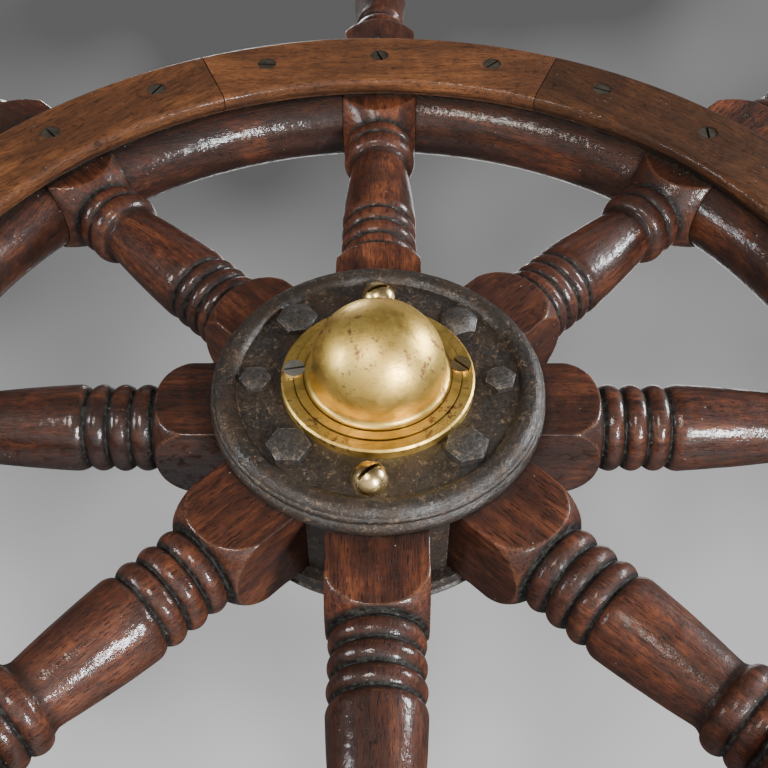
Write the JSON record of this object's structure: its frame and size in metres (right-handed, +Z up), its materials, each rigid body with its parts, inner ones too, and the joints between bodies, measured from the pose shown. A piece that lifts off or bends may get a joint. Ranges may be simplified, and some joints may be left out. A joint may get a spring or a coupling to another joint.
{
  "type": "ship steering wheel",
  "caption": "Turned hardwood ship's wheel with an iron-plated hub, brass dome cap and a segmented rim, turning on a flanged spindle bearing.",
  "frame": {"origin": "centre of the bearing flange's mounting face, on the spin axis", "axes": "+Y along the spin axis from the wheel into the mounting surface; the wheel's front faces -Y; +Z up, through one spoke; +X to the right of a person facing the front"},
  "size_m": [1.066, 0.2258, 1.066],
  "materials": {
    "spoke_wood": "old varnished mahogany, gloss",
    "rim_wood": "old varnished mahogany, gloss",
    "facing_wood": "varnished mahogany, mottled, gloss",
    "screw_steel": "dull, tarnished",
    "hub_iron": "pitted, worn",
    "bolt_iron": "pitted, worn bright on the edges",
    "screw_brass": "tarnished",
    "cap_brass": "polished, with a patchy patina",
    "cap_screw_steel": "worn",
    "spindle_steel": "oiled",
    "nut_steel": "oiled",
    "bearing_iron": "satin",
    "bearing_bronze": "satin"
  },
  "bodies": {
    "bearing": {"bearing_flange": "bearing_iron", "bearing_bush": "bearing_bronze", "thrust_washer": "bearing_bronze"},
    "wheel": {"cap_screw_brass": "screw_brass", "cap_screw_steel": "cap_screw_steel", "dome_cap": "cap_brass", "facing_1": "facing_wood", "facing_2": "facing_wood", "facing_3": "facing_wood", "facing_4": "facing_wood", "facing_5": "facing_wood", "facing_6": "facing_wood", "facing_7": "facing_wood", "facing_8": "facing_wood", "facing_screws": "screw_steel", "felloe_1": "rim_wood", "felloe_2": "rim_wood", "felloe_3": "rim_wood", "felloe_4": "rim_wood", "felloe_5": "rim_wood", "felloe_6": "rim_wood", "felloe_7": "rim_wood", "felloe_8": "rim_wood", "hub_bolts_large": "bolt_iron", "hub_bolts_small": "bolt_iron", "hub_front_plate": "hub_iron", "hub_nuts_large": "bolt_iron", "hub_nuts_small": "bolt_iron", "hub_rear_plate": "hub_iron", "hub_screws_brass": "screw_brass", "set_collar": "nut_steel", "set_collar_screw": "spindle_steel", "spindle": "spindle_steel", "spindle_key": "spindle_steel", "spindle_nut": "nut_steel", "spindle_washer": "nut_steel", "spoke_1": "spoke_wood", "spoke_2": "spoke_wood", "spoke_3": "spoke_wood", "spoke_4": "spoke_wood", "spoke_5": "spoke_wood", "spoke_6": "spoke_wood", "spoke_7": "spoke_wood", "spoke_8": "spoke_wood"}
  },
  "joints": [
    {"name": "wheel_turn", "type": "hinge", "parent": "bearing", "child": "wheel", "pos_m": [0, 0, 0], "axis": [0, 1, 0], "continuous": true}
  ]
}
